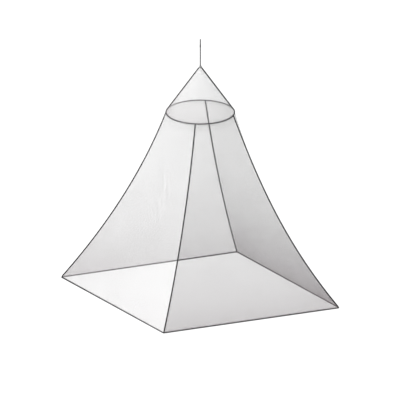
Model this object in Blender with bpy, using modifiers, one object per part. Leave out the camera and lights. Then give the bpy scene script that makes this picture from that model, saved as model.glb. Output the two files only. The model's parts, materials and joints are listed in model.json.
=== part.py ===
# Mosquito net canopy: a bed net that hangs from one cord.
#
# A cone of netting drops from the cord's end to a hoop, and four netting panels flare from the hoop
# to a rectangular hem. Dark piping runs down the cone's two seams and the skirt's four corner seams,
# and binds the hem. The cord ends above in a loop that is whipped with thread.
#
# Metres, +Z up. The origin is the underside of the hanging loop's crown, where a ceiling hook bears.
# X runs across the bed and Y along it.

import math
from collections import namedtuple

import bmesh
import bpy
from mathutils import Matrix, Vector

# Heights, measured down from the hanging point.
TIP_DROP = 0.260  # to the point in which the cone's sides meet
CONE_HEIGHT = 0.463
SKIRT_HEIGHT = 1.810

# Plan sizes.
HEM_WIDTH = 1.900  # along X
HEM_LENGTH = 2.160  # along Y
HOOP_DIAMETER = 0.660

# The net hangs a little unevenly: the hoop tips down on one side and is turned against the hem.
# The hanging loop lies in line with the low side, and the cone's seams are set off from it.
LOW_BEARING = math.radians(-117)  # from +X
HOOP_TIP = math.radians(4.2)
HOOP_TURN = math.radians(5.8)
CONE_SEAM_TURN = math.radians(100)  # from the low side, each way

# Sections.
NET_THICKNESS = 0.0015
PIPING_DIAMETER = 0.009
HOOP_TUBE_DIAMETER = 0.010
CORD_DIAMETER = 0.008
FIT_GAP = 0.0003  # between pieces that are sewn or tied together

# The cord's ends.
LOOP_BEND_RADIUS = 2 * CORD_DIAMETER
LOOP_HEIGHT = 0.048
THREAD_DIAMETER = 0.0012
LOOP_WHIPPING_HEIGHT = 0.024
WHIPPING_RISE = 0.010  # above the cone's point
WHIPPING_DROP = 0.014  # below it
CORD_TUCK = 0.010  # how far the cord reaches below the cone's point, inside the whipping

# How finely curves and cloth are divided.
SKIRT_ROWS = 20
PANEL_COLUMNS = 16
GORE_ROWS = 3
GORE_COLUMNS = 28
HOOP_SEGMENTS = 72
HOOP_TUBE_SEGMENTS = 12
LOOP_ARC_STEPS = 14
LOOP_LEG_STEPS = 8
CORD_STEPS = 10
TURNED_STEPS = 24

HOOP_CENTRE = Vector((0, 0, -TIP_DROP - CONE_HEIGHT))
CONE_POINT = Vector((0, 0, -TIP_DROP))
HEM_Z = HOOP_CENTRE.z - SKIRT_HEIGHT
PIPING_RADIUS = PIPING_DIAMETER / 2
CORD_RADIUS = CORD_DIAMETER / 2

# Going round anticlockwise from above. Sag is how far a seam is drawn in on its way down:
# 0 hangs straight from the hoop to its corner.
Corner = namedtuple("Corner", "name x_side y_side sag")
CORNERS = (
    Corner("front_left", -1, -1, 0.48),
    Corner("front_right", 1, -1, 0.45),
    Corner("back_right", 1, 1, 0.31),
    Corner("back_left", -1, 1, 0.40),
)
PANELS = ("front", "right", "back", "left")  # each from its corner to the next
HEM_RUNS = (Vector((1, 0, 0)), Vector((0, 1, 0)))

Finish = namedtuple("Finish", "name color roughness metallic alpha")
NETTING = Finish("netting", (0.80, 0.80, 0.81), 0.85, 0.0, 0.35)
PIPING = Finish("piping", (0.035, 0.035, 0.037), 0.80, 0.0, 1.0)
HOOP_COVER = Finish("hoop_cover", (0.040, 0.040, 0.042), 0.75, 0.0, 1.0)
CORD = Finish("cord", (0.030, 0.030, 0.032), 0.70, 0.0, 1.0)


def clear_scene():
    for item in list(bpy.data.objects):
        bpy.data.objects.remove(item, do_unlink=True)


def material_of(finish):
    material = bpy.data.materials.get(finish.name) or bpy.data.materials.new(finish.name)
    material.use_nodes = True
    shader = material.node_tree.nodes["Principled BSDF"]
    shader.inputs["Base Color"].default_value = (*finish.color, 1)
    shader.inputs["Roughness"].default_value = finish.roughness
    shader.inputs["Metallic"].default_value = finish.metallic
    shader.inputs["Alpha"].default_value = finish.alpha
    return material


def place(item, finish):
    """Puts an object in the canopy's collection, under its hanging point."""
    item.data.materials.append(material_of(finish))
    canopy.objects.link(item)
    item.parent = hanging_point
    return item


def tube(name, path, diameter, finish):
    curve = bpy.data.curves.new(name, "CURVE")
    curve.dimensions = "3D"
    curve.bevel_depth = diameter / 2
    curve.bevel_resolution = 2
    curve.use_fill_caps = True
    spline = curve.splines.new("POLY")
    spline.points.add(len(path) - 1)
    for point, position in zip(spline.points, path):
        point.co = (*position, 1)
    return place(bpy.data.objects.new(name, curve), finish)


def turned(name, profile, finish):
    """A ring turned about Z from a closed profile of (radius, height), which runs down its outer side."""
    mesh = bpy.data.meshes.new(name)
    shape = bmesh.new()
    points = [shape.verts.new((radius, 0, height)) for radius, height in profile]
    for start, end in zip(points, points[1:] + points[:1]):
        shape.edges.new((start, end))
    shape.to_mesh(mesh)
    shape.free()
    item = place(bpy.data.objects.new(name, mesh), finish)
    screw = item.modifiers.new("Turn", "SCREW")
    screw.steps = screw.render_steps = TURNED_STEPS
    screw.use_merge_vertices = True
    screw.merge_threshold = 0.00001
    return item


def slopes(surface, across, down):
    """How fast a surface moves sideways and downwards, worked out towards its middle."""
    nudge = 0.001
    here = surface(across, down)
    sideways = surface(across + (nudge if across < 0.5 else -nudge), down) - here
    downwards = surface(across, down + (nudge if down < 0.5 else -nudge)) - here
    return sideways / nudge, downwards / nudge


def side_share(surface, across, down, distance):
    """The share of the width that keeps a point this distance from the seam at its side."""
    sideways, downwards = slopes(surface, across, down)
    return distance / sideways.cross(downwards.normalized()).length


def end_share(surface, across, down, distance):
    """The share of the height that keeps a point this distance from the top or bottom edge."""
    sideways, downwards = slopes(surface, across, down)
    return distance / downwards.cross(sideways.normalized()).length


def butt_distance(tube_run, bar_run, bar_radius):
    """How far from a bar's axis a piping tube stops, so that its square end clears the bar."""
    lean = abs(tube_run.normalized().dot(bar_run.normalized()))
    upright = math.sqrt(1 - lean * lean)
    return (bar_radius + PIPING_RADIUS * lean) / upright + FIT_GAP


def cloth(name, surface, columns, rows, top_gap, bottom_gap):
    """A sheet over surface(across, down), both from 0 to 1, held clear of what binds its four edges."""
    side_gap = PIPING_RADIUS + FIT_GAP
    mesh = bpy.data.meshes.new(name)
    shape = bmesh.new()
    grid = []
    for row in range(rows + 1):
        line = []
        for column in range(columns + 1):
            across = column / columns
            low = end_share(surface, across, 0, top_gap)
            high = end_share(surface, across, 1, bottom_gap)
            down = low + (1 - low - high) * row / rows
            left = side_share(surface, 0, down, side_gap)
            right = side_share(surface, 1, down, side_gap)
            line.append(shape.verts.new(surface(left + (1 - left - right) * across, down)))
        grid.append(line)
    for upper, lower in zip(grid, grid[1:]):
        for column in range(columns):
            shape.faces.new((upper[column], lower[column], lower[column + 1], upper[column + 1]))
    shape.to_mesh(mesh)
    shape.free()
    mesh.shade_smooth()
    item = place(bpy.data.objects.new(name, mesh), NETTING)
    solidify = item.modifiers.new("Thickness", "SOLIDIFY")
    solidify.thickness = NET_THICKNESS
    solidify.offset = 0
    return item


def towards(bearing):
    return Vector((math.cos(bearing), math.sin(bearing), 0))


def hoop_rotation():
    return Matrix.Rotation(HOOP_TIP, 3, Vector((0, 0, 1)).cross(towards(LOW_BEARING)))


def hoop_point(bearing):
    return HOOP_CENTRE + hoop_rotation() @ towards(bearing) * HOOP_DIAMETER / 2


def hem_corner(corner):
    return Vector((corner.x_side * HEM_WIDTH / 2, corner.y_side * HEM_LENGTH / 2, HEM_Z))


def seam_bearing(corner):
    """Where a corner seam starts on the hoop."""
    foot = hem_corner(corner)
    return math.atan2(foot.y, foot.x) + HOOP_TURN


def skirt_surface(start, end):
    """The panel between two corners: across runs from start to end, and down from the hoop to the hem."""
    turn = (seam_bearing(end) - seam_bearing(start)) % math.tau

    def surface(across, down):
        top = hoop_point(seam_bearing(start) + turn * across)
        bottom = hem_corner(start).lerp(hem_corner(end), across)
        sag = start.sag + (end.sag - start.sag) * across
        point = top.lerp(bottom, down - sag * down * (1 - down))
        point.z = top.z + (bottom.z - top.z) * down
        return point

    return surface


def cone_surface(first_bearing):
    """The half of the cone that starts at one seam, from under the whipping down to the hoop."""
    turn = math.tau - 2 * CONE_SEAM_TURN if first_bearing > LOW_BEARING else 2 * CONE_SEAM_TURN

    def surface(across, down):
        foot = hoop_point(first_bearing + turn * across)
        start = WHIPPING_DROP / (CONE_POINT.z - foot.z)
        return CONE_POINT.lerp(foot, start + (1 - start) * down)

    return surface


def hoop_run(bearing):
    """Which way the hoop runs at this bearing."""
    return hoop_point(bearing + math.radians(1)) - hoop_point(bearing)


def next_corner(index):
    return CORNERS[(index + 1) % len(CORNERS)]


def make_hoop():
    bpy.ops.mesh.primitive_torus_add(
        major_segments=HOOP_SEGMENTS,
        minor_segments=HOOP_TUBE_SEGMENTS,
        major_radius=HOOP_DIAMETER / 2,
        minor_radius=HOOP_TUBE_DIAMETER / 2,
    )
    hoop = bpy.context.object
    hoop.name = hoop.data.name = "hoop"
    for collection in list(hoop.users_collection):
        collection.objects.unlink(hoop)
    hoop.location = HOOP_CENTRE
    hoop.rotation_euler = hoop_rotation().to_euler()
    hoop.data.shade_smooth()
    place(hoop, HOOP_COVER)


def make_skirt_panels():
    for index, (name, corner) in enumerate(zip(PANELS, CORNERS)):
        cloth(
            f"skirt_panel_{name}",
            skirt_surface(corner, next_corner(index)),
            PANEL_COLUMNS,
            SKIRT_ROWS,
            HOOP_TUBE_DIAMETER / 2 + FIT_GAP,
            PIPING_RADIUS + FIT_GAP,
        )


def make_corner_seams():
    for index, corner in enumerate(CORNERS):
        surface = skirt_surface(corner, next_corner(index))
        along_hoop, start_run = slopes(surface, 0, 0)
        end_run = slopes(surface, 0, 1)[1]
        low = butt_distance(start_run, along_hoop, HOOP_TUBE_DIAMETER / 2) / start_run.length
        high = max(butt_distance(end_run, side, PIPING_RADIUS) for side in HEM_RUNS) / end_run.length
        path = [surface(0, low + (1 - low - high) * row / SKIRT_ROWS) for row in range(SKIRT_ROWS + 1)]
        tube(f"corner_seam_{corner.name}", path, PIPING_DIAMETER, PIPING)


def make_hem_bindings():
    """Each side's binding runs through its first corner and stops against the next side's."""
    for index, (name, corner) in enumerate(zip(PANELS, CORNERS)):
        start = hem_corner(corner)
        end = hem_corner(next_corner(index))
        along = (end - start).normalized()
        path = (start - along * PIPING_RADIUS, end - along * (PIPING_RADIUS + FIT_GAP))
        tube(f"hem_binding_{name}", path, PIPING_DIAMETER, PIPING)


def make_cone():
    for name, side in (("front", -1), ("back", 1)):
        cloth(
            f"cone_gore_{name}",
            cone_surface(LOW_BEARING + side * CONE_SEAM_TURN),
            GORE_COLUMNS,
            GORE_ROWS,
            NET_THICKNESS / 2 + FIT_GAP,
            HOOP_TUBE_DIAMETER / 2 + FIT_GAP,
        )


def make_cone_seams():
    for name, side in (("left", -1), ("right", 1)):
        bearing = LOW_BEARING + side * CONE_SEAM_TURN
        foot = hoop_point(bearing)
        run = foot - CONE_POINT
        cap_rise = PIPING_RADIUS * run.xy.length / run.length
        start = (WHIPPING_DROP + FIT_GAP + cap_rise) / -run.z
        end = 1 - butt_distance(run, hoop_run(bearing), HOOP_TUBE_DIAMETER / 2) / run.length
        path = [CONE_POINT.lerp(foot, share) for share in (start, end)]
        tube(f"cone_seam_{name}", path, PIPING_DIAMETER, PIPING)


def make_tip_whipping():
    """The thread binding that holds the cone's gathered point to the cord."""
    hoop_slope = HOOP_DIAMETER / 2 / CONE_HEIGHT
    bore = CORD_RADIUS + FIT_GAP
    neck = bore + 2 * THREAD_DIAMETER
    top = CONE_POINT.z + WHIPPING_RISE
    bottom = CONE_POINT.z - WHIPPING_DROP
    foot_radius = WHIPPING_DROP * hoop_slope + PIPING_RADIUS
    profile = (
        (neck, top),
        (foot_radius, bottom + PIPING_RADIUS),
        (foot_radius, bottom),
        (bore, bottom),
        (bore, top),
    )
    turned("tip_whipping", profile, CORD)


def make_cord():
    top = Vector((0, 0, -LOOP_HEIGHT - LOOP_WHIPPING_HEIGHT - 2 * FIT_GAP))
    bottom = CONE_POINT - Vector((0, 0, CORD_TUCK))
    path = [top.lerp(bottom, step / CORD_STEPS) for step in range(CORD_STEPS + 1)]
    tube("hanging_cord", path, CORD_DIAMETER, CORD)


def make_loop_whipping():
    """The thread wound round the cord's two parts under the loop, with half-round sides."""
    wall = FIT_GAP + THREAD_DIAMETER
    size = (2 * CORD_DIAMETER + FIT_GAP + 2 * wall, CORD_DIAMETER + 2 * wall, LOOP_WHIPPING_HEIGHT)
    mesh = bpy.data.meshes.new("loop_whipping")
    shape = bmesh.new()
    bmesh.ops.create_cube(shape, size=1, matrix=Matrix.Diagonal((*size, 1)))
    upright = [edge for edge in shape.edges if abs(edge.verts[0].co.z - edge.verts[1].co.z) > FIT_GAP]
    bmesh.ops.bevel(shape, geom=upright, offset=size[1] * 0.48, segments=5, profile=0.5, affect="EDGES")
    shape.to_mesh(mesh)
    shape.free()
    whipping = place(bpy.data.objects.new("loop_whipping", mesh), CORD)
    whipping.location.z = -LOOP_HEIGHT - FIT_GAP - LOOP_WHIPPING_HEIGHT / 2
    whipping.rotation_euler.z = LOW_BEARING


def loop_path():
    """Half a circle at the crown, on two legs that close up where they enter the whipping."""
    centre_z = CORD_RADIUS - LOOP_BEND_RADIUS
    close = CORD_RADIUS + FIT_GAP / 2
    foot_z = CORD_RADIUS - LOOP_HEIGHT
    leg = [(close, -LOOP_HEIGHT)]
    for step in range(LOOP_LEG_STEPS):
        share = step / LOOP_LEG_STEPS
        ease = share * share * (3 - 2 * share)
        leg.append((close + (LOOP_BEND_RADIUS - close) * ease, foot_z + (centre_z - foot_z) * share))
    crown = []
    for step in range(LOOP_ARC_STEPS + 1):
        angle = math.pi * step / LOOP_ARC_STEPS
        crown.append((LOOP_BEND_RADIUS * math.cos(angle), centre_z + LOOP_BEND_RADIUS * math.sin(angle)))
    outline = leg + crown + [(-side, height) for side, height in reversed(leg)]
    return [towards(LOW_BEARING) * side + Vector((0, 0, height)) for side, height in outline]


def make_loop():
    tube("hanging_loop", loop_path(), CORD_DIAMETER, CORD)


clear_scene()
canopy = bpy.data.collections.new("mosquito_net_canopy")
bpy.context.scene.collection.children.link(canopy)
hanging_point = bpy.data.objects.new("hanging_point", None)
hanging_point.empty_display_size = 0.05
canopy.objects.link(hanging_point)

make_loop()
make_loop_whipping()
make_cord()
make_tip_whipping()
make_cone()
make_cone_seams()
make_hoop()
make_skirt_panels()
make_corner_seams()
make_hem_bindings()
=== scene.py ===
# Mosquito net canopy, dressed: sheer netting, piped seams, a laced hoop, a braided cord and its
# thread whippings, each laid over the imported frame. Metres, with the hanging point at the origin.
import math
import random

import bpy
from mathutils import Matrix, Vector, noise
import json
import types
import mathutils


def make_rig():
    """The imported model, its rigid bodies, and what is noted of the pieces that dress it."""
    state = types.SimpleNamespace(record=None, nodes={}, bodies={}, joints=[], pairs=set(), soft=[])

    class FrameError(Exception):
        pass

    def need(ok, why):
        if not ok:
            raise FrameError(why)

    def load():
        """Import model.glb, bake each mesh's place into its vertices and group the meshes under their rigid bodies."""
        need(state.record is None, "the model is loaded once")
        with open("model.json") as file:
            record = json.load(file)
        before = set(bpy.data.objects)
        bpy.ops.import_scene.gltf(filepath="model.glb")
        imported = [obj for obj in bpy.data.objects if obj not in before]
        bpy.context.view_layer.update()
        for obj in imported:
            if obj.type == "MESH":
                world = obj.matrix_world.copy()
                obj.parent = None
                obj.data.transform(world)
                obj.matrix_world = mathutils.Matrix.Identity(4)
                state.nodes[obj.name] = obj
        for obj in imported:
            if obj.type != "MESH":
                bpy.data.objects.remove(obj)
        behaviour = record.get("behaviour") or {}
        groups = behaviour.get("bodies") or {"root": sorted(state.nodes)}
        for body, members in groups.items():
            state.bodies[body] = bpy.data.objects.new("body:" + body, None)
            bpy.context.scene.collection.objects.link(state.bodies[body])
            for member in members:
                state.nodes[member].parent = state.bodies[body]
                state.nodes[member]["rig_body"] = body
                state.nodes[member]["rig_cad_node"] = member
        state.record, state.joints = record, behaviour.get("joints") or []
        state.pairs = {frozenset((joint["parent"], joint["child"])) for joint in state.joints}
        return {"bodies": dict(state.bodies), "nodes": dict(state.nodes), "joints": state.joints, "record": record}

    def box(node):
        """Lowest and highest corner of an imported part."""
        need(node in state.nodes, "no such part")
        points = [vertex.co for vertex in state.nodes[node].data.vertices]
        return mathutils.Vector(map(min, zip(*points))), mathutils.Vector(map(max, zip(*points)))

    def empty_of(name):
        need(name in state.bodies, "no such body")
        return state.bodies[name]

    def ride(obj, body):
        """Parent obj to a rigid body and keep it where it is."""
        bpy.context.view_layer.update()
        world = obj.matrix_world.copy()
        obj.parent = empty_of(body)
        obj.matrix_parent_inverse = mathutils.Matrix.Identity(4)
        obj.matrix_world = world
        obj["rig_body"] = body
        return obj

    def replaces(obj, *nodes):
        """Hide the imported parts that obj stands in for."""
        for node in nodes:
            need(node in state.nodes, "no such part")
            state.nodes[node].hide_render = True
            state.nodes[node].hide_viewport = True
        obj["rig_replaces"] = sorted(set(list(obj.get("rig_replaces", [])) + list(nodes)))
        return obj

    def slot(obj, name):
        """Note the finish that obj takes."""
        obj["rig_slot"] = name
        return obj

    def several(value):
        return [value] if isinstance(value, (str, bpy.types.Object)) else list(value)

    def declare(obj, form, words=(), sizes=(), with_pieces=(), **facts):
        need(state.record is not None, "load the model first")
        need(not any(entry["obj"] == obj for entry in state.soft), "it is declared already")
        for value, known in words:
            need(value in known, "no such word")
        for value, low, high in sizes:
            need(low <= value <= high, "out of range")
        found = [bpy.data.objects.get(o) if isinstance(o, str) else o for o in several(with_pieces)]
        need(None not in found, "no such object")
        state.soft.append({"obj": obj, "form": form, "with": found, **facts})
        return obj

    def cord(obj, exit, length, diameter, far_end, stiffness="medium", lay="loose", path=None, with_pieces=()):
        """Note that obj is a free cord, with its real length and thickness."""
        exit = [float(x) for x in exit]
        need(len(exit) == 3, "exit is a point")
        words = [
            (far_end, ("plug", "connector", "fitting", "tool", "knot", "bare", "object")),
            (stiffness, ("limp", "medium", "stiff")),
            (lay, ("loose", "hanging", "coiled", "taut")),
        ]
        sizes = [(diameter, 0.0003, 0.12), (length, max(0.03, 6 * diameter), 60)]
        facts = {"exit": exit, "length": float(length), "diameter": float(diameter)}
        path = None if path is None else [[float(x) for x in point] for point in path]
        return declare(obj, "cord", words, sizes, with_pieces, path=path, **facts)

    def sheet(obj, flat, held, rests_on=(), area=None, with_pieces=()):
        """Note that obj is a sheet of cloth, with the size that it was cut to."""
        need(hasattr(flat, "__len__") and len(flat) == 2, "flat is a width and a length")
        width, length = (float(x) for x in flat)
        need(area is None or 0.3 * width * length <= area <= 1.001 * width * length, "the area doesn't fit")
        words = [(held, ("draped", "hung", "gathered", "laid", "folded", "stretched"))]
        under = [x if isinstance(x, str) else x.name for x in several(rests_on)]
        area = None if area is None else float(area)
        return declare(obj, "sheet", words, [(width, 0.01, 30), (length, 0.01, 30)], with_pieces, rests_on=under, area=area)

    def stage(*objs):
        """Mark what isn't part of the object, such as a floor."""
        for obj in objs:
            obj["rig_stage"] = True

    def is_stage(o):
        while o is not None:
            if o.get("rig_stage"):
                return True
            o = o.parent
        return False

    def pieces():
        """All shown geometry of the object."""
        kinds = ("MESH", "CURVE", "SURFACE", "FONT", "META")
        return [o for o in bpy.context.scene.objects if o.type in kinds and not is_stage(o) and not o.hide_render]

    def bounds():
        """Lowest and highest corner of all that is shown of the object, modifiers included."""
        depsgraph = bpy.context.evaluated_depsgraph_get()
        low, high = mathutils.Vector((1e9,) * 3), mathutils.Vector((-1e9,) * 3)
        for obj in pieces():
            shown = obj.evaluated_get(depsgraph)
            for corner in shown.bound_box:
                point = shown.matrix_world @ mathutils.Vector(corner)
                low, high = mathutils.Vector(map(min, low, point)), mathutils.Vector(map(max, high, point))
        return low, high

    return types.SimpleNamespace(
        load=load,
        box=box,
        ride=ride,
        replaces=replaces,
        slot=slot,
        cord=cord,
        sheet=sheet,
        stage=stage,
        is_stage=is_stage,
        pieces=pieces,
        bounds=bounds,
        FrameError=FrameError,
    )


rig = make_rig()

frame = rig.load()
frameBox = [list(corner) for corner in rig.bounds()]
print("frame:", len(frame["nodes"]), "nodes")


def middle(node):
    low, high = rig.box(node)
    return (low + high) / 2


# The shape that the frame's solids have too
canopy = dict(
    tipDrop=0.260,  # from the hanging point to the cone's point
    hoopDiameter=0.660,
    lowBearing=math.radians(-117),  # the hoop's low side, round from +X
    hoopTip=math.radians(4.2),
    hoopTurn=math.radians(5.8),  # how far the seams' heads are turned against the hem's corners
    coneSeamTurn=math.radians(100),  # the cone's seams, each way from the low side
    whippingRise=0.010,  # the tip whipping, above and below the cone's point
    whippingDrop=0.014,
    netTuck=0.6,  # how far down inside the tip whipping the netting begins, of whippingDrop
    hoopTube=0.010,
    cord=0.008,
    thread=0.0012,
)
# The hem's corners, anticlockwise. A seam is drawn in by its sag on its way down, and low is how
# much more of that comes low down. Plump is the fullness of its piping.
corners = (
    dict(name="FrontLeft", node="front_left", x=-1, y=-1, sag=0.48, low=0.05, plump=0.90),
    dict(name="FrontRight", node="front_right", x=1, y=-1, sag=0.45, low=0.29, plump=1.0),
    dict(name="BackRight", node="back_right", x=1, y=1, sag=0.27, low=0.0, plump=0.97),
    dict(name="BackLeft", node="back_left", x=-1, y=1, sag=0.37, low=0.0, plump=1.11),
)

tipPoint = Vector((0, 0, -canopy["tipDrop"]))
hoopCentre = middle("hoop")
hemHalf = Vector((middle("hem_binding_right").x, middle("hem_binding_back").y))
hemHeight = middle("hem_binding_front").z


# Where things are: points on the hoop, the hem and the netting between them
def towards(bearing):
    return Vector((math.cos(bearing), math.sin(bearing), 0))


def hoopRotation():
    tipAxis = Vector((0, 0, 1)).cross(towards(canopy["lowBearing"]))
    return Matrix.Rotation(canopy["hoopTip"], 3, tipAxis)


def hoopPoint(bearing):
    return hoopCentre + hoopRotation() @ towards(bearing) * canopy["hoopDiameter"] / 2


def hemCorner(corner):
    return Vector((corner["x"] * hemHalf.x, corner["y"] * hemHalf.y, hemHeight))


def seamBearing(corner):
    foot = hemCorner(corner)
    return math.atan2(foot.y, foot.x) + canopy["hoopTurn"]


def skirtSurface(index):
    # this corner's panel: across runs to the next corner, and down from the hoop to the hem
    start, end = corners[index], corners[(index + 1) % 4]
    first = seamBearing(start)
    turn = (seamBearing(end) - first) % math.tau
    foot, nextFoot = hemCorner(start), hemCorner(end)
    tilt = hoopRotation()

    def surface(across, down):
        top = hoopCentre + tilt @ towards(first + turn * across) * canopy["hoopDiameter"] / 2
        bottom = foot.lerp(nextFoot, across)
        sag = start["sag"] + (end["sag"] - start["sag"]) * across
        low = start["low"] + (end["low"] - start["low"]) * across
        drawnIn = sag * down * (1 - down) * (1 + low * (2 * down - 1))
        point = top.lerp(bottom, down - drawnIn)
        point.z = top.z + (bottom.z - top.z) * down
        return point

    return surface


def coneSurface(side):
    # the half of the cone from this side's seam round to the other, down from inside the whipping
    first = canopy["lowBearing"] + side * canopy["coneSeamTurn"]
    turn = 2 * canopy["coneSeamTurn"] if side < 0 else math.tau - 2 * canopy["coneSeamTurn"]
    tilt = hoopRotation()

    def surface(across, down):
        foot = hoopCentre + tilt @ towards(first + turn * across) * canopy["hoopDiameter"] / 2
        start = canopy["netTuck"] * canopy["whippingDrop"] / (tipPoint.z - foot.z)
        return tipPoint.lerp(foot, start + (1 - start) * down)

    return surface


def runLengths(points):
    lengths = [0.0]
    for here, there in zip(points, points[1:]):
        lengths.append(lengths[-1] + (there - here).length)
    return lengths


def evenly(points, count):
    # count + 1 points at even steps along a route
    lengths = runLengths(points)
    spaced, segment = [], 0
    for step in range(count + 1):
        wanted = lengths[-1] * step / count
        while segment < len(points) - 2 and lengths[segment + 1] < wanted:
            segment += 1
        span = lengths[segment + 1] - lengths[segment]
        spaced.append(points[segment].lerp(points[segment + 1], (wanted - lengths[segment]) / span))
    return spaced


# Modelling helpers
def deselect():
    if bpy.context.object and bpy.context.object.mode != "OBJECT":
        bpy.ops.object.mode_set(mode="OBJECT")
    bpy.ops.object.select_all(action="DESELECT")


def workOn(piece):
    deselect()
    piece.select_set(True)
    bpy.context.view_layer.objects.active = piece


def closeUp(piece, fillEnds):
    # merges the edges that meet, caps what is open and turns every face outwards
    workOn(piece)
    bpy.ops.object.mode_set(mode="EDIT")
    bpy.ops.mesh.select_all(action="SELECT")
    bpy.ops.mesh.remove_doubles(threshold=1e-6)
    if fillEnds:
        bpy.ops.mesh.fill_holes(sides=0)
    bpy.ops.mesh.normals_make_consistent(inside=False)
    bpy.ops.object.mode_set(mode="OBJECT")


def applyModifier(piece, kind, **settings):
    modifier = piece.modifiers.new(kind.title(), kind)
    for setting, value in settings.items():
        setattr(modifier, setting, value)
    workOn(piece)
    bpy.ops.object.modifier_apply(modifier=modifier.name)


def pickOut(piece, kind, chosen):
    # opens edit mode with only those edges or faces selected that chosen picks
    bpy.ops.object.mode_set(mode="EDIT")
    bpy.ops.mesh.select_mode(type=kind)
    bpy.ops.mesh.select_all(action="DESELECT")
    bpy.ops.object.mode_set(mode="OBJECT")
    for element in piece.data.edges if kind == "EDGE" else piece.data.polygons:
        element.select = chosen(element)
    bpy.ops.object.mode_set(mode="EDIT")


def joinUp(pieces, name):
    deselect()
    for piece in pieces:
        piece.select_set(True)
    bpy.context.view_layer.objects.active = pieces[0]
    bpy.ops.object.join()
    pieces[0].name = name
    return pieces[0]


def gridSheet(name, columns, rows, place, unroll):
    # a flat grid whose points go to place[row][column], with its own threads map in metres
    deselect()
    bpy.ops.mesh.primitive_grid_add(x_subdivisions=columns, y_subdivisions=rows, size=1)
    piece = bpy.context.object
    piece.name = name
    mesh = piece.data
    spots = []
    for vertex in mesh.vertices:
        spot = (round((0.5 - vertex.co.y) * rows), round((vertex.co.x + 0.5) * columns))
        spots.append(spot)
        vertex.co = place[spot[0]][spot[1]]
    threads = mesh.uv_layers[0]
    threads.name = "threads"
    for loop in mesh.loops:
        row, column = spots[loop.vertex_index]
        threads.data[loop.index].uv = unroll[row][column]
    return piece, spots


def carriedFrames(route, closed):
    # side and lift directions along a route, carried from point to point with no twist
    frames = []
    side = None
    for index, here in enumerate(route):
        before = route[index - 1] if index else (route[-2] if closed else here)
        last = route[1] if closed else here
        after = route[index + 1] if index < len(route) - 1 else last
        along = (after - before).normalized()
        if side is None:
            spare = Vector((0, 0, 1)) if abs(along.z) < 0.8 else Vector((1, 0, 0))
            side = along.cross(spare).normalized()
        side = (side - along * side.dot(along)).normalized()
        frames.append((side, along.cross(side)))
    return frames


def tubeAlong(name, route, radius, around, lifts=None, squash=1.0, closed=False):
    # a rolled grid; radius may be a list, and lifts are the ways in which squash thins the section
    radii = radius if isinstance(radius, list) else [radius] * len(route)
    lengths = runLengths(route)
    place, unroll = [], []
    for index, (side, lift) in enumerate(carriedFrames(route, closed)):
        if lifts:
            along = side.cross(lift)
            lift = (lifts[index] - along * lifts[index].dot(along)).normalized()
            side = lift.cross(along)
        ring, strip = [], []
        for step in range(around + 1):
            angle = math.tau * (step % around) / around
            out = side * math.cos(angle) + lift * math.sin(angle) * squash
            ring.append(route[index] + out * radii[index])
            strip.append((lengths[index], math.tau * radii[index] * step / around))
        place.append(ring)
        unroll.append(strip)
    piece, _ = gridSheet(name, around, len(route) - 1, place, unroll)
    closeUp(piece, fillEnds=not closed)
    piece.data.shade_smooth()
    return piece


def finishPiece(piece, name, finish, slot, *replaced):
    piece.name = piece.data.name = name
    piece.data.materials.clear()
    piece.data.materials.append(finish)
    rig.ride(piece, "root")
    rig.slot(piece, slot)
    if replaced:
        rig.replaces(piece, *replaced)
    return piece


# Shader maths: a Wire is a shader value, so that an expression on wires adds the Math nodes for it
class Wire:
    def __init__(self, finish, socket):
        self.finish = finish
        self.socket = socket

    def maths(self, operation, *values):
        return self.finish.add("ShaderNodeMath", {"operation": operation}, dict(enumerate(values)))

    def __add__(self, other):
        return self.maths("ADD", self, other)

    def __radd__(self, other):
        return self.maths("ADD", other, self)

    def __sub__(self, other):
        return self.maths("SUBTRACT", self, other)

    def __rsub__(self, other):
        return self.maths("SUBTRACT", other, self)

    def __mul__(self, other):
        return self.maths("MULTIPLY", self, other)

    def __rmul__(self, other):
        return self.maths("MULTIPLY", other, self)

    def __truediv__(self, other):
        return self.maths("DIVIDE", self, other)

    def __rtruediv__(self, other):
        return self.maths("DIVIDE", other, self)

    def __lt__(self, other):
        return self.maths("LESS_THAN", self, other)

    def __gt__(self, other):
        return self.maths("GREATER_THAN", self, other)

    def __abs__(self):
        return self.maths("ABSOLUTE", self)

    def larger(self, other):
        return self.maths("MAXIMUM", self, other)

    def smaller(self, other):
        return self.maths("MINIMUM", self, other)

    def sine(self):
        return self.maths("SINE", self)

    def wrapped(self):
        return self.maths("WRAP", self, 0.5, -0.5)  # to between -0.5 and 0.5

    def held(self):
        return self.finish.add("ShaderNodeClamp", None, {0: self})


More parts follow.
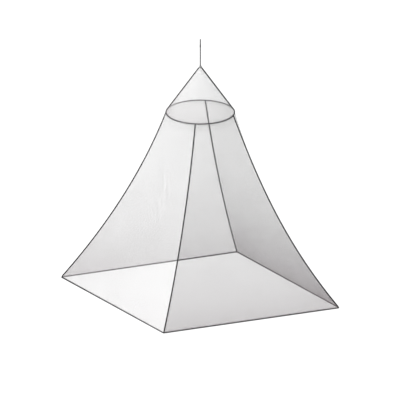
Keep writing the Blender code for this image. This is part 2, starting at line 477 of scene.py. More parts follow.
class Finish:
    def __init__(self, name):
        self.material = bpy.data.materials.new(name)
        self.material.use_nodes = True
        self.tree = self.material.node_tree
        self.tree.nodes.clear()

    def add(self, kind, settings=None, inputs=None, output=0):
        node = self.tree.nodes.new(kind)
        for setting, value in (settings or {}).items():
            setattr(node, setting, value)
        for name, value in (inputs or {}).items():
            if isinstance(value, Wire):
                self.tree.links.new(value.socket, node.inputs[name])
            else:
                node.inputs[name].default_value = value
        return Wire(self, node.outputs[output])

    def parts(self, vector):
        return [self.add("ShaderNodeSeparateXYZ", None, {0: vector}, axis) for axis in range(3)]

    def mapped(self, name):
        return self.add("ShaderNodeUVMap", {"uv_map": name})

    def place(self):
        return self.add("ShaderNodeTexCoord", None, None, "Object")

    def cloud(self, vector, scale, detail=2.0):
        inputs = {"Vector": vector, "Scale": scale, "Detail": detail}
        return self.add("ShaderNodeTexNoise", None, inputs)

    def blend(self, share, first, second):
        return self.add(
            "ShaderNodeMix",
            {"data_type": "RGBA"},
            {0: share, 6: (*first, 1), 7: (*second, 1)},
            2,
        )

    def bumped(self, height, distance, strength=1.0):
        inputs = {"Height": height, "Distance": distance, "Strength": strength}
        return self.add("ShaderNodeBump", None, inputs)

    def cloth(self, color, roughness, normal, sheen, specular):
        return self.add(
            "ShaderNodeBsdfPrincipled",
            None,
            {
                "Base Color": color,
                "Roughness": roughness,
                "Normal": normal,
                "Sheen Weight": sheen,
                "Specular IOR Level": specular,
            },
        )

    def show(self, shader):
        node = self.tree.nodes.new("ShaderNodeOutputMaterial")
        self.tree.links.new(shader.socket, node.inputs["Surface"])
        return self.material


# The room: a pale floor, an even sky and one broad lamp, behind on the left
room = dict(
    floorRadius=40.0,
    floorTone=(0.10, 0.10, 0.10),
    floorPatches=0.985,  # the tone of its patches, against the rest
    patchScale=1.5,
    floorGlow=0.90,
    gap=0.003,  # the hem hangs just clear of it
    skyLight=0.20,
    backdrop=(1.0, 1.0, 1.0),
    lampStrength=7.6,
    lampBearing=math.radians(143),
    lampHeight=math.radians(63),
    lampSpread=math.radians(25),
    lampAway=6.0,
    viewBearing=math.radians(-27.1),
    viewHeight=math.radians(16.3),
    viewWidth=3.8536,
    aimAbove=0.9275,  # of the hem, where the camera looks
    aimAside=-0.0029,
    cameraAway=8.0,
)


def placeCamera():
    lens = bpy.data.cameras.new("camera")
    lens.type = "ORTHO"
    lens.ortho_scale = room["viewWidth"]
    camera = bpy.data.objects.new("camera", lens)
    bpy.context.scene.collection.objects.link(camera)
    turn, rise = room["viewBearing"], room["viewHeight"]
    level = math.cos(rise)
    back = Vector((math.sin(turn) * level, -math.cos(turn) * level, math.sin(rise)))
    right = Vector((math.cos(turn), math.sin(turn), 0))
    aim = Vector((0, 0, hemHeight + room["aimAbove"])) + right * room["aimAside"]
    camera.location = aim + back * room["cameraAway"]
    camera.rotation_euler = (-back).to_track_quat("-Z", "Y").to_euler()
    bpy.context.scene.camera = camera


def floorFinish():
    floor = Finish("studio floor")
    cloud = floor.cloud(floor.place(), room["patchScale"])
    tone = [channel * room["floorPatches"] for channel in room["floorTone"]]
    shader = floor.add(
        "ShaderNodeBsdfPrincipled",
        None,
        {
            "Base Color": floor.blend(cloud, room["floorTone"], tone),
            "Roughness": 0.9,
            "Specular IOR Level": 0.1,
            "Emission Color": (1, 1, 1, 1),
            "Emission Strength": room["floorGlow"],
        },
    )
    return floor.show(shader)


def layFloor():
    deselect()
    height = frameBox[0][2] - room["gap"]
    bpy.ops.mesh.primitive_circle_add(
        vertices=128, radius=room["floorRadius"], fill_type="NGON", location=(0, 0, height)
    )
    floor = bpy.context.object
    floor.name = "studioFloor"
    floor.data.materials.append(floorFinish())
    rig.stage(floor)


def lightRoom():
    world = bpy.data.worlds.new("sky")
    world.use_nodes = True
    nodes, links = world.node_tree.nodes, world.node_tree.links
    nodes.clear()
    light = nodes.new("ShaderNodeBackground")
    light.inputs["Color"].default_value = (1, 1, 1, 1)
    light.inputs["Strength"].default_value = room["skyLight"]
    shown = nodes.new("ShaderNodeBackground")
    shown.inputs["Color"].default_value = (*room["backdrop"], 1)
    rays = nodes.new("ShaderNodeLightPath")
    mix = nodes.new("ShaderNodeMixShader")
    output = nodes.new("ShaderNodeOutputWorld")
    links.new(rays.outputs["Is Camera Ray"], mix.inputs[0])
    links.new(light.outputs[0], mix.inputs[1])
    links.new(shown.outputs[0], mix.inputs[2])
    links.new(mix.outputs[0], output.inputs["Surface"])
    bpy.context.scene.world = world

    lamp = bpy.data.lights.new("softLamp", "SUN")
    lamp.energy = room["lampStrength"]
    lamp.angle = room["lampSpread"]
    holder = bpy.data.objects.new("softLamp", lamp)
    bpy.context.scene.collection.objects.link(holder)
    level = math.cos(room["lampHeight"])
    way = towards(room["lampBearing"]) * level + Vector((0, 0, math.sin(room["lampHeight"])))
    holder.location = way * room["lampAway"]
    holder.rotation_euler = way.to_track_quat("Z", "Y").to_euler()


bpy.context.scene.view_settings.view_transform = "Standard"
placeCamera()
print("camera placed")


# The cord, its loop and the whippings
braid = dict(
    pitch=0.020,  # of one turn of a strand
    strands=4,  # each way round
    centreRadius=0.00365,
    wave=0.00050,  # how far a strand rises and dips as it crosses the others
    strandRadius=0.00178,
    squash=0.58,
    core=0.0037,
    reach=0.0052,  # from the cord's middle to the outside of its strands
    stepsPerTurn=24,
    tuck=0.010,  # how far the cord runs on below the cone's point
    pathSteps=20,
)
braidLook = dict(
    fibre=0.00045,  # from one fibre to the next
    slant=2.5,
    fuzzScale=900.0,
    wearScale=45.0,
    dark=(0.006, 0.006, 0.007),
    light=(0.026, 0.026, 0.027),
    relief=0.00008,
)
threadLook = dict(
    ply=0.0016,
    slant=0.9,
    wearScale=120.0,
    relief=0.00010,
    black=((0.008, 0.008, 0.009), (0.035, 0.034, 0.034)),  # each its dark and its light
    grey=((0.26, 0.26, 0.26), (0.46, 0.46, 0.46)),
    seam=((0.016, 0.016, 0.018), (0.060, 0.058, 0.058)),
)
loop = dict(
    height=0.048,
    bendRadius=0.016,
    legTuck=0.8,  # how far its legs run down inside the whipping, of whippingHeight
    fit=0.0003,
    whippingHeight=0.024,
    flatten=2.2,  # how quickly the thread goes over from one leg to the other
    perTurn=24,
    coreInset=0.0002,  # how far inside the thread's middle the core's sides stand
    coreRound=0.96,  # the roundness of the core's ends
)
tipWhipping = dict(
    footReach=0.0058,  # how far its foot stands outside the netting, over the piping
    kneeRise=0.0045,  # from its foot to where it begins to narrow
    perTurn=28,
)


def cordFinish():
    cord = Finish("braided cord")
    along, around, _ = cord.parts(cord.mapped("threads"))
    twist = along + around * braidLook["slant"]  # the fibres lie at a slant on each strand
    fibres = (twist * (math.tau / braidLook["fibre"])).sine()
    fuzz = cord.cloud(cord.place(), braidLook["fuzzScale"], detail=3.0)
    wearAndShade = cord.cloud(cord.place(), braidLook["wearScale"])
    height = fibres * 0.5 + fuzz
    wornAndShaded = (wearAndShade * 0.5 + fibres * 0.15 + fuzz * 0.25).held()
    color = cord.blend(wornAndShaded, braidLook["dark"], braidLook["light"])
    normal = cord.bumped(height, braidLook["relief"])
    return cord.show(cord.cloth(color, 0.70 + fuzz * 0.2, normal, sheen=0.04, specular=0.1))


def threadFinish(name, dark, light):
    thread = Finish(name)
    along, around, _ = thread.parts(thread.mapped("threads"))
    twist = along + around * threadLook["slant"]
    plies = (twist * (math.tau / threadLook["ply"])).sine()
    wearAndShade = thread.cloud(thread.place(), threadLook["wearScale"])
    color = thread.blend((plies * 0.25 + wearAndShade * 0.6).held(), dark, light)
    normal = thread.bumped(plies, threadLook["relief"])
    return thread.show(thread.cloth(color, 0.55 + wearAndShade * 0.2, normal, sheen=0.05, specular=0.2))


def braided(name, route):
    count = round(runLengths(route)[-1] / braid["pitch"] * braid["stepsPerTurn"])
    line = evenly(route, count)
    frames = carriedFrames(line, False)
    turns = [step / braid["stepsPerTurn"] * math.tau for step in range(count + 1)]
    made = [tubeAlong(name + "Core", line, braid["core"], around=10)]
    for way in (1, -1):
        for strand in range(braid["strands"]):
            path, lifts = [], []
            for point, (side, lift), turn in zip(line, frames, turns):
                angle = math.tau * strand / braid["strands"] + way * turn
                out = side * math.cos(angle) + lift * math.sin(angle)
                wave = way * braid["wave"] * math.cos(braid["strands"] * turn)
                path.append(point + out * (braid["centreRadius"] + wave))
                lifts.append(out)
            radius, squash = braid["strandRadius"], braid["squash"]
            made.append(tubeAlong(name + "Strand", path, radius, 8, lifts, squash))
    return joinUp(made, name)


def loopRoute():
    # half a circle at the crown, on two legs that close up where they enter the whipping
    arcSteps, legSteps = 40, 24
    bend = loop["bendRadius"]
    centreZ = canopy["cord"] / 2 - bend
    close = canopy["cord"] / 2 + loop["fit"] / 2
    footZ = canopy["cord"] / 2 - loop["height"]
    lowest = -loop["height"] - loop["fit"] - loop["whippingHeight"] * loop["legTuck"]
    leg = [(close, lowest), (close, -loop["height"])]
    for step in range(legSteps):
        share = step / legSteps
        ease = share * share * (3 - 2 * share)
        leg.append((close + (bend - close) * ease, footZ + (centreZ - footZ) * share))
    crown = []
    for step in range(arcSteps + 1):
        angle = math.pi * step / arcSteps
        crown.append((bend * math.cos(angle), centreZ + bend * math.sin(angle)))
    outline = leg + crown + [(-side, height) for side, height in reversed(leg)]
    aside = towards(canopy["lowBearing"])
    return [aside * side + Vector((0, 0, height)) for side, height in outline]


def windThread(name, turns, perTurn, centreAt):
    # one thread laid turn beside turn, its centre at centreAt(share of the height, angle)
    total = turns * perTurn
    route = [centreAt(step / total, math.tau * step / perTurn) for step in range(total + 1)]
    return tubeAlong(name, route, canopy["thread"] / 2, around=8)


def bevelUpright(core, upright, width):
    # rounds the edges of a core that stand at least this tall
    def stands(edge):
        first, second = (core.data.vertices[index].co for index in edge.vertices)
        return abs(first.z - second.z) > upright

    pickOut(core, "EDGE", stands)
    bpy.ops.mesh.bevel(offset=width, segments=6, profile=0.5, affect="EDGES")
    bpy.ops.object.mode_set(mode="OBJECT")


def makeLoopWhipping():
    bend = braid["reach"] + canopy["thread"] / 2
    flat = canopy["cord"] / 2 + loop["fit"] / 2
    top = -loop["height"] - loop["fit"] - canopy["thread"] / 2
    drop = loop["whippingHeight"] - canopy["thread"]
    onward = towards(canopy["lowBearing"])
    aside = Vector((0, 0, 1)).cross(onward)

    def centreAt(share, angle):
        shift = onward * flat * max(-1.0, min(1.0, loop["flatten"] * math.cos(angle)))
        out = onward * math.cos(angle) + aside * math.sin(angle)
        return out * bend + shift + Vector((0, 0, top - drop * share))

    turns = round(drop / canopy["thread"])
    wound = windThread("loopWhippingThread", turns, loop["perTurn"], centreAt)
    deselect()
    bpy.ops.mesh.primitive_cube_add(size=1, location=(0, 0, top - drop / 2))
    core = bpy.context.object
    less = 2 * loop["coreInset"]
    core.scale = (2 * (flat + bend) - less, 2 * bend - less, drop)
    core.rotation_euler.z = canopy["lowBearing"]
    bpy.ops.object.transform_apply(location=True, rotation=True, scale=True)
    bevelUpright(core, drop / 2, bend * loop["coreRound"])
    return joinUp([wound, core], "loopWhipping")


def makeTipWhipping():
    reach = canopy["thread"] / 2
    neck = canopy["cord"] / 2 + loop["fit"] + 2 * canopy["thread"] - reach
    slope = canopy["hoopDiameter"] / 2 / (tipPoint.z - hoopCentre.z)
    foot = canopy["whippingDrop"] * slope + tipWhipping["footReach"] - reach
    top = tipPoint.z + canopy["whippingRise"] - reach
    knee = tipPoint.z - canopy["whippingDrop"] + tipWhipping["kneeRise"]
    bottom = tipPoint.z - canopy["whippingDrop"] + reach
    flank = math.hypot(foot - neck, top - knee)
    run = flank + knee - bottom

    def centreAt(share, angle):
        down = share * run
        if down < flank:
            radius = neck + (foot - neck) * down / flank
            height = top + (knee - top) * down / flank
        else:
            radius, height = foot, knee - (down - flank)
        return towards(angle) * radius + Vector((0, 0, height))

    turns = round(run / canopy["thread"])
    wound = windThread("tipWhippingThread", turns, tipWhipping["perTurn"], centreAt)
    deselect()
    bpy.ops.mesh.primitive_cone_add(
        vertices=tipWhipping["perTurn"],
        radius1=foot,
        radius2=neck,
        depth=top - knee,
        location=(0, 0, (top + knee) / 2),
    )
    core = bpy.context.object
    bpy.ops.object.transform_apply(location=True, rotation=True, scale=True)
    pickOut(core, "FACE", lambda face: face.normal.z < -0.9)
    bpy.ops.mesh.extrude_region_move(TRANSFORM_OT_translate={"value": (0, 0, bottom - knee)})
    bpy.ops.object.mode_set(mode="OBJECT")
    return joinUp([wound, core], "tipWhipping")


def makeCord():
    finish = cordFinish()
    thread = threadFinish("black thread", *threadLook["black"])
    greyThread = threadFinish("grey thread", *threadLook["grey"])
    top = -loop["height"] - loop["whippingHeight"] - 2 * loop["fit"]
    line = [Vector((0, 0, tipPoint.z - braid["tuck"])), Vector((0, 0, top))]
    cord = finishPiece(braided("cord", line), "hangingCord", finish, "cord", "hanging_cord")
    eye = finishPiece(braided("eye", loopRoute()), "hangingLoop", finish, "cord", "hanging_loop")
    bound = finishPiece(makeLoopWhipping(), "loopWhipping", thread, "whipping", "loop_whipping")
    finishPiece(makeTipWhipping(), "tipWhipping", greyThread, "whipping", "tip_whipping")
    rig.cord(
        cord,
        exit=line[0],
        length=(line[1] - line[0]).length,
        diameter=canopy["cord"],
        far_end="knot",
        stiffness="limp",
        lay="taut",
        path=evenly(line, braid["pathSteps"]),
        with_pieces=[eye, bound],
    )


makeCord()
print("cord, loop and whippings made")


# The hoop and its lacing
hoop = dict(
    dark=(0.022, 0.022, 0.024),
    light=(0.045, 0.045, 0.047),
    wearScale=18.0,
    grainScale=700.0,
    relief=0.00006,
)
lacing = dict(
    turns=168,
    stepsPerTurn=16,
    reachOut=0.0057,
    reachUp=0.0063,
    thread=0.0014,
    ply=0.0018,
    dark=(0.030, 0.030, 0.032),
    light=(0.085, 0.084, 0.085),
    toneScale=60.0,
    relief=0.0001,
)


def hoopFinish():
    coat = Finish("coated hoop")
    grain = coat.cloud(coat.place(), hoop["grainScale"], detail=3.0)
    wearAndShade = coat.cloud(coat.place(), hoop["wearScale"])
    color = coat.blend(wearAndShade, hoop["dark"], hoop["light"])
    shader = coat.add(
        "ShaderNodeBsdfPrincipled",
        None,
        {
            "Base Color": color,
            "Roughness": 0.42 + wearAndShade * 0.2,
            "Normal": coat.bumped(grain, hoop["relief"]),
            "Specular IOR Level": 0.4,
            "Coat Weight": 0.15,
        },
    )
    return coat.show(shader)


def lacingFinish():
    yarn = Finish("lacing yarn")
    along, around, _ = yarn.parts(yarn.mapped("threads"))
    plies = ((along + around) * (math.tau / lacing["ply"])).sine()
    tone = yarn.cloud(yarn.place(), lacing["toneScale"])
    color = yarn.blend((tone * 0.7 + plies * 0.2).held(), lacing["dark"], lacing["light"])
    normal = yarn.bumped(plies, lacing["relief"])
    return yarn.show(yarn.cloth(color, 0.75, normal, sheen=0.2, specular=0.2))


def makeHoop():
    deselect()
    bpy.ops.mesh.primitive_torus_add(
        major_segments=160,
        minor_segments=16,
        major_radius=canopy["hoopDiameter"] / 2,
        minor_radius=canopy["hoopTube"] / 2,
        location=hoopCentre,
        rotation=hoopRotation().to_euler(),
    )
    ring = bpy.context.object
    bpy.ops.object.transform_apply(location=True, rotation=True, scale=True)
    ring.data.shade_smooth()
    finishPiece(ring, "hoopRing", hoopFinish(), "hoop", "hoop")


def laceHoop():
    tilt = hoopRotation()
    up = tilt @ Vector((0, 0, 1))
    total = lacing["turns"] * lacing["stepsPerTurn"]
    route = []
    for step in range(total + 1):
        out = tilt @ towards(math.tau * step / total)
        angle = math.tau * step / lacing["stepsPerTurn"]
        centre = hoopCentre + out * canopy["hoopDiameter"] / 2
        wind = out * lacing["reachOut"] * math.cos(angle) + up * lacing["reachUp"] * math.sin(angle)
        route.append(centre + wind)
    yarn = tubeAlong("hoopLacing", route, lacing["thread"] / 2, around=6)
    finishPiece(yarn, "hoopLacing", lacingFinish(), "whipping")


makeHoop()
laceHoop()
print("hoop laced")


# The netting
netting = dict(
    thickness=0.00015,
    cell=0.0028,  # across the flats of a hole
    thread=0.00029,
    # threads drawn this wide where the shade is painted in full, so that the holes close up
    shadedThread=0.00080,
    threadStops=0.7,  # of the light that meets it
    threadSide=0.06,  # how gradually it thins out at its sides, of a hole
    fuzz=0.02,  # how much of the light the loose fibres in a hole stop
    # and this much fuzz where the shade is painted in full
    shadedFuzz=0.09,
    topFuzz=0.08,  # more of it where the netting is gathered in
    topReach=0.10,
    turning=0.011,  # the width of the turned edge beside each seam
    unshaded=(0.50, 0.50, 0.50),
    # the colour of the painted shade, towards the hem and on the sides turned from the lamp
    wornAndShaded=(0.196, 0.156, 0.168),
    through=0.25,  # how much of the light goes on through a thread
    shadeCurve=2.3,  # how late the painted shade sets in on the way down
    wander=0.6,  # how far the rows of holes stray, of a hole
    wanderScale=28.0,
    underShift=(0.31, 0.23),  # where the turned edge's own holes lie, of a hole
    patchFuzz=0.04,  # how much its patches differ
    patchGrey=0.15,
    patchScale=2.2,
    knit=0.0003,  # how high the threads stand
)
relief = dict(
    pucker=0.0010,
    puckerLength=0.052,
    puckerReach=0.035,
    seamCalm=0.014,  # how near to a seam it dies away
    sway=2.5,  # how far the puckers stray along their seam
    swayScale=5.0,
    swellScale=3.1,
    gather=0.0022,
    gatherReach=0.16,
    gathers=17,
    billow=0.003,
    billowScale=1.7,
)
sheetGrid = dict(
    columns=72,
    skirtRows=160,
    coneRows=44,
    crowding=0.12,  # how much closer together the columns stand beside the seams
    sideTuck=0.0025,  # how far inside the piping and the hoop its edges lie
    topTuck=0.0040,
    hemTuck=0.0025,
)
# The three values on each panel and gore paint shade into the netting: how far it is darkened and its holes closed up
# at its top and at the two ends of its hem, most on the sides turned from the lamp and low down
panels = (
    dict(name="Front", cut=(1.90, 2.11), area=2.106, wearAndShade=(0.10, 0.94, 0.81)),
    dict(name="Right", cut=(2.16, 2.11), area=2.409, wearAndShade=(0.08, 1.04, 1.06)),
    dict(name="Back", cut=(1.90, 2.11), area=2.182, wearAndShade=(0.10, 0.50, 0.87)),
    dict(name="Left", cut=(2.16, 2.11), area=2.365, wearAndShade=(0.00, 0.30, 0.32)),
)
gores = (
    dict(name="Front", side=-1, cut=(1.152, 0.569), area=0.321, wearAndShade=(0.0, 0.54, 0.28)),
    dict(name="Back", side=1, cut=(0.922, 0.569), area=0.245, wearAndShade=(0.0, 0.0, 0.0)),
)


def nettingFinish():
    net = Finish("netting")
    x, y, _ = net.parts(net.mapped("threads"))
    # the edges map holds how far a point is from an edge, and how much shade is painted on it
    fromEdge, wearAndShade, _ = net.parts(net.mapped("edges"))
    wander = net.cloud(net.place(), netting["wanderScale"])
    column = x / netting["cell"] + (wander - 0.5) * netting["wander"]
    row = y / netting["cell"]

    def holeDepth(shiftX, shiftY):
        # 0 in the middle of a six-sided hole and 0.5 at its threads
        first = column + shiftX
        second = (row + shiftY) / math.sqrt(3)

        def toCentre(offset):
            aside = abs((first + offset).wrapped())
            apart = abs((second + offset).wrapped() * math.sqrt(3))
            return aside.larger(aside * 0.5 + apart * (math.sqrt(3) / 2))

        return toCentre(0.0).smaller(toCentre(0.5))

    # painted shade: the threads widen and the fuzz thickens where it is painted
    wider = (netting["shadedThread"] - netting["thread"]) * wearAndShade
    edge = 0.5 - (netting["thread"] + wider) / netting["cell"] / 2
    depth = holeDepth(0.0, 0.0)
    under = ((holeDepth(*netting["underShift"]) - edge) / netting["threadSide"] + 0.5).held()
    turned = fromEdge < netting["turning"]
    over = ((depth - edge) / netting["threadSide"] + 0.5).held()
    thread = over.larger(under * turned) * netting["threadStops"]
    patchy = net.cloud(net.place(), netting["patchScale"])
    gathered = (1 - y / netting["topReach"]).held()
    fuzz = netting["fuzz"] + (netting["shadedFuzz"] - netting["fuzz"]) * wearAndShade
    fuzz = fuzz + netting["topFuzz"] * gathered + (patchy - 0.5) * netting["patchFuzz"]
    cover = (fuzz + thread * (1 - fuzz)).held()
    # painted shade, with random patches of grey
    grey = (wearAndShade + (patchy - 0.5) * netting["patchGrey"]).held()
    color = net.blend(grey, netting["unshaded"], netting["wornAndShaded"])
    normal = net.bumped(depth.smaller(0.5), netting["knit"], strength=0.35)
    front = net.cloth(color, 0.85, normal, sheen=0.15, specular=0.1)
    behind = net.add("ShaderNodeBsdfTranslucent", None, {"Color": color, "Normal": normal})
    threads = net.add("ShaderNodeMixShader", None, {0: netting["through"], 1: front, 2: behind})
    clear = net.add("ShaderNodeBsdfTransparent")
    return net.show(net.add("ShaderNodeMixShader", None, {0: cover, 1: clear, 2: threads}))


def ripple(along, seed):
    sway = noise.noise(Vector((along * relief["swayScale"], seed, 0)))
    swell = 0.6 + 0.4 * noise.noise(Vector((along * relief["swellScale"], seed + 7.3, 0)))
    return math.sin(math.tau * along / relief["puckerLength"] + relief["sway"] * sway) * swell


def fades(distance, reach):
    # nothing on the seam itself, most a little way off, then dying away
    return (1 - math.exp(-distance / relief["seamCalm"])) * math.exp(-distance / reach)


def flatNetting(surface, columns, rows):
    # the sheet's grid before its relief, row by row
    topTuck, hemTuck = sheetGrid["topTuck"], sheetGrid["hemTuck"]
    fall = runLengths([surface(0.5, row / rows) for row in range(rows + 1)])[-1]
    flat = []
    for row in range(rows + 1):
        down = (topTuck + (fall - topTuck - hemTuck) * row / rows) / fall
        tuck = sheetGrid["sideTuck"] / (surface(1, down) - surface(0, down)).length
        line = []
        for column in range(columns + 1):
            share = column / columns
            share -= sheetGrid["crowding"] * math.sin(math.tau * share)
            line.append(surface(tuck + (1 - 2 * tuck) * share, down))
        flat.append(line)
    return flat


def layNetting(name, surface, rows, wearAndShade, seed, gathered):
    columns = sheetGrid["columns"]
    flat = flatNetting(surface, columns, rows)

    acrossRuns = [runLengths(line) for line in flat]
    downRuns = [runLengths(line) for line in zip(*flat)]
    place, unroll, edges = [], [], []
    for row, line in enumerate(flat):
        above, below = flat[max(row - 1, 0)], flat[min(row + 1, rows)]
        width = acrossRuns[row][-1]
        place.append([])
        unroll.append([])
        edges.append([])
        for column, point in enumerate(line):
            aside = line[min(column + 1, columns)] - line[max(column - 1, 0)]
            outward = aside.cross(above[column] - below[column]).normalized()
            left, top = acrossRuns[row][column], downRuns[column][row]
            right, hem = width - left, downRuns[column][-1] - top
            lift = relief["pucker"] * fades(left, relief["puckerReach"]) * ripple(top, seed)
            lift += relief["pucker"] * fades(right, relief["puckerReach"]) * ripple(top, seed + 3.7)
            lift += relief["pucker"] * fades(hem, relief["puckerReach"]) * ripple(left, seed + 5.1)
            calm = math.sin(math.pi * left / width) * math.sin(math.pi * top / (top + hem))
            calm = max(0.0, calm)
            spot = point * relief["billowScale"] + Vector((seed, 0, 0))
            lift += relief["billow"] * calm * noise.noise(spot)
            if gathered:
                stray = 2 * ripple(left, seed + 1.9)
                fold = math.sin(math.tau * relief["gathers"] * left / width + stray)
                lift += relief["gather"] * fades(top, relief["gatherReach"]) * fold * calm ** 0.3
            place[row].append(point + outward * lift)
            unroll[row].append((left - width / 2, top))
            # painted shade, from the top's value down to the hem's, which runs between its two ends
            hemShade = wearAndShade[1] + (wearAndShade[2] - wearAndShade[1]) * left / width
            wornAndShaded = wearAndShade[0] + (hemShade - wearAndShade[0]) * (top / (top + hem)) ** netting["shadeCurve"]
            edges[row].append((min(left, right, top, hem), wornAndShaded))

    piece, spots = gridSheet(name, columns, rows, place, unroll)
    margins = piece.data.uv_layers.new(name="edges")
    for corner in piece.data.loops:
        row, column = spots[corner.vertex_index]
        margins.data[corner.index].uv = edges[row][column]
    applyModifier(piece, "SOLIDIFY", thickness=netting["thickness"], offset=0)
    closeUp(piece, fillEnds=False)
    workOn(piece)
    bpy.ops.object.shade_smooth_by_angle(angle=math.radians(40))
    return piece


def makeNetting():
    finish = nettingFinish()
    for index, panel in enumerate(panels):
        name, rows = "skirtNet" + panel["name"], sheetGrid["skirtRows"]
        surface, seed = skirtSurface(index), 11.0 * index
        net = layNetting(name, surface, rows, panel["wearAndShade"], seed, gathered=True)
        finishPiece(net, name, finish, "netting", "skirt_panel_" + panel["name"].lower())
        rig.sheet(net, flat=panel["cut"], held="hung", rests_on=["hoopRing"], area=panel["area"])
        print("netting hung:", panel["name"])
    for gore in gores:
        name, rows = "coneNet" + gore["name"], sheetGrid["coneRows"]
        surface = coneSurface(gore["side"])
        net = layNetting(name, surface, rows, gore["wearAndShade"], seed=50.0, gathered=False)
        finishPiece(net, name, finish, "netting", "cone_gore_" + gore["name"].lower())
        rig.sheet(net, flat=gore["cut"], held="hung", rests_on=["tipWhipping"], area=gore["area"])


makeNetting()
print("cone hung")


# The piping on the seams and the hem
piping = dict(
    width=0.0116,
    coneWidth=0.0136,
    tipTuck=0.7,  # how far down inside the tip whipping it begins, of whippingDrop
    tipTaper=0.56,  # its width where the tip whipping squeezes it
    endTaper=0.70,  # and where it ends inside the hoop or the hem
    seamSteps=120,
    hemWidth=0.0106,
    hemPlump=0.12,  # how much fuller the hem is at the back than midway, and thinner in front
    hemBend=0.010,
    bendSteps=6,
    step=0.018,
    around=14,
    uneven=0.035,
    unevenScale=23.0,
    weave=0.0007,
    dark=(0.003, 0.003, 0.004),
    light=(0.016, 0.016, 0.017),
    wearScale=14.0,
    lintScale=260.0,
    relief=0.00012,
)


def pipingFinish():
    tape = Finish("piping tape")
    along, around, _ = tape.parts(tape.mapped("threads"))
    slanted = math.tau / piping["weave"] / math.sqrt(2)
    weave = ((along + around) * slanted).sine().larger(((along - around) * slanted).sine())
    wearAndShade = tape.cloud(tape.place(), piping["wearScale"])
    lint = tape.cloud(tape.place(), piping["lintScale"], detail=3.0)
    wornAndShaded = (wearAndShade * 0.55 + lint * 0.3 + weave * 0.15).held()
    color = tape.blend(wornAndShaded, piping["dark"], piping["light"])
    normal = tape.bumped(weave + lint, piping["relief"])
    return tape.show(tape.cloth(color, 0.85 + lint * 0.15, normal, sheen=0.02, specular=0.08))


def stepped(route):
    return evenly(route, round(runLengths(route)[-1] / piping["step"]))


def piped(name, line, width, seed, head=1.0, foot=1.0, closed=False):
    # head and foot are how much of its width its two ends have
    radii = []
    for point in line:
        spot = point * piping["unevenScale"] + Vector((seed, 0, 0))
        swell = piping["uneven"] * noise.noise(spot)
        if closed:
            swell += piping["hemPlump"] * point.y / hemHalf.y
        radii.append(width / 2 * (1 + swell))
    radii[0] *= head
    radii[-1] = radii[0] if closed else radii[-1] * foot
    return tubeAlong(name, line, radii, piping["around"], closed=closed)


def hemBend(corner, steps):
    # the small round bend that the hem's middle line makes at a corner
    reach = piping["hemBend"]
    centre = hemCorner(corner) - Vector((corner["x"], corner["y"], 0)) * reach
    first = math.atan2(corner["y"], corner["x"]) - math.pi / 4
    bearings = [first + math.pi / 2 * step / steps for step in range(steps + 1)]
    return [centre + towards(bearing) * reach for bearing in bearings]


def hemLine():
    line = []
    for corner in corners:
        bend = hemBend(corner, piping["bendSteps"])
        if line:
            line += stepped([line[-1], bend[0]])[1:-1]
        line += bend
    return line + stepped([line[-1], line[0]])[1:]


def makePiping():
    finish = pipingFinish()
    tuck = piping["endTaper"]
    for index, corner in enumerate(corners):
        surface = skirtSurface(index)
        steps = piping["seamSteps"]
        route = [surface(0, step / steps) for step in range(steps)]
        route.append(hemBend(corner, 2)[1])  # the middle of the hem's bend
        name = "cornerPiping" + corner["name"]
        width = piping["width"] * corner["plump"]
        seam = piped(name, stepped(route), width, index, head=tuck, foot=tuck)
        finishPiece(seam, name, finish, "piping", "corner_seam_" + corner["node"])
    for side, name in ((-1, "left"), (1, "right")):
        foot = hoopPoint(canopy["lowBearing"] + side * canopy["coneSeamTurn"])
        start = canopy["whippingDrop"] * piping["tipTuck"] / (tipPoint.z - foot.z)
        line = stepped([tipPoint.lerp(foot, start), foot])
        title = "conePiping" + name.title()
        seam = piped(title, line, piping["coneWidth"], side, head=piping["tipTaper"], foot=tuck)
        finishPiece(seam, title, finish, "piping", "cone_seam_" + name)
    hem = piped("hemPiping", hemLine(), piping["hemWidth"], 9, closed=True)
    nodes = ["hem_binding_" + panel["name"].lower() for panel in panels]
    finishPiece(hem, "hemPiping", finish, "piping", *nodes)


makePiping()
print("piping sewn in")


# The stitches beside the piping
stitches = dict(
    length=0.0042,
    pitch=0.0075,
    radius=0.00045,
    roundEnd=0.55,  # of its radius
    slant=0.10,  # how far a stitch may lean
    stretch=(0.9, 1.08),
    fromPiping=0.0022,
    fromHoop=0.012,
    skirtSteps=60,  # of the line that they follow
    coneSteps=20,
)


def mapStitch(stitch):
    # its threads map, in metres along it and around it
    threads = stitch.data.uv_layers[0]
    threads.name = "threads"
    for face in stitch.data.polygons:
        facing = math.atan2(face.center.z, face.center.y)
        for corner in face.loop_indices:
            spot = stitch.data.vertices[stitch.data.loops[corner].vertex_index].co
            turn = math.remainder(math.atan2(spot.z, spot.y) - facing, math.tau)
            threads.data[corner].uv = (spot.x, stitches["radius"] * (facing + turn))


def firstStitch():
    # one stitch along +X, its ends rounded
    deselect()
    bpy.ops.mesh.primitive_cylinder_add(
        vertices=6,
        radius=stitches["radius"],
        depth=stitches["length"],
        location=(stitches["pitch"] / 2, 0, 0),
        rotation=(0, math.pi / 2, 0),
    )
    bpy.ops.object.transform_apply(location=True, rotation=True, scale=True)
    stitch = bpy.context.object
    pickOut(stitch, "FACE", lambda face: abs(face.normal.x) > 0.9)
    rounding = stitches["radius"] * stitches["roundEnd"]
    bpy.ops.mesh.bevel(offset=rounding, segments=1, affect="EDGES")
    bpy.ops.object.mode_set(mode="OBJECT")
    mapStitch(stitch)
    return stitch


def bendAlong(piece, route):
    # bends a piece that lies along +X to follow a route
    guide = bpy.data.curves.new("stitchLine", "CURVE")
    guide.dimensions = "3D"
    spline = guide.splines.new("POLY")
    spline.points.add(len(route) - 1)
    for point, place in zip(spline.points, route):
        point.co = (*place, 1)
    line = bpy.data.objects.new("stitchLine", guide)
    bpy.context.scene.collection.objects.link(line)
    applyModifier(piece, "CURVE", object=line, deform_axis="POS_X")
    bpy.data.objects.remove(line)


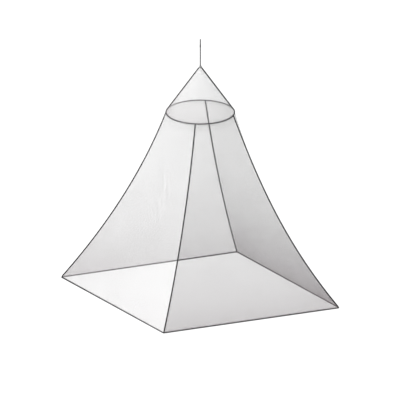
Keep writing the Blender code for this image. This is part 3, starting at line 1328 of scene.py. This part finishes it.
def stitchRow(route):
    # a row of stitches, each a little longer, shorter or more askew than the next
    random.seed(len(route) + int(route[0].x * 1000))
    count = int(runLengths(route)[-1] / stitches["pitch"])
    row = firstStitch()
    each = len(row.data.vertices)
    applyModifier(
        row,
        "ARRAY",
        count=count,
        use_relative_offset=False,
        use_constant_offset=True,
        constant_offset_displace=(stitches["pitch"], 0, 0),
    )
    for index in range(count):
        middleX = stitches["pitch"] * (index + 0.5)
        slant = random.uniform(-stitches["slant"], stitches["slant"])
        stretch = random.uniform(*stitches["stretch"])
        for vertex in row.data.vertices[index * each : (index + 1) * each]:
            off = (vertex.co.x - middleX) * stretch
            vertex.co = (middleX + off, vertex.co.y + off * slant, vertex.co.z)
    bendAlong(row, route)
    return row


def borderRoutes(surface, steps, withHem):
    # the lines beside a sheet's two seams, and over its hem
    off = piping["width"] / 2 + stitches["fromPiping"]
    fall = (surface(0.5, 1) - surface(0.5, 0)).length
    first, last = stitches["fromHoop"] / fall, 1 - off / fall
    routes = []
    for edge in (0, 1):
        route = []
        for step in range(steps + 1):
            down = first + (last - first) * step / steps
            share = off / (surface(1, down) - surface(0, down)).length
            route.append(surface(share if edge == 0 else 1 - share, down))
        routes.append(route)
    if withHem:
        inset = off / (surface(1, last) - surface(0, last)).length
        shares = [inset + (1 - 2 * inset) * step / steps for step in range(steps + 1)]
        routes.append([surface(share, last) for share in shares])
    return routes


def makeStitches():
    thread = threadFinish("seam thread", *threadLook["seam"])
    for index, panel in enumerate(panels):
        name = "stitches" + panel["name"]
        routes = borderRoutes(skirtSurface(index), stitches["skirtSteps"], withHem=True)
        rows = [stitchRow(route) for route in routes]
        finishPiece(joinUp(rows, name), name, thread, "whipping")
    for gore in gores:
        name = "coneStitches" + gore["name"]
        routes = borderRoutes(coneSurface(gore["side"]), stitches["coneSteps"], withHem=False)
        rows = [stitchRow(route) for route in routes]
        finishPiece(joinUp(rows, name), name, thread, "whipping")


makeStitches()
print("seams stitched")

layFloor()
lightRoom()
sceneBox = [list(corner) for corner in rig.bounds()]
with open("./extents.json", "w") as sizeFile:
    sizeFile.write(repr([frameBox, sceneBox]))
print("room lit")
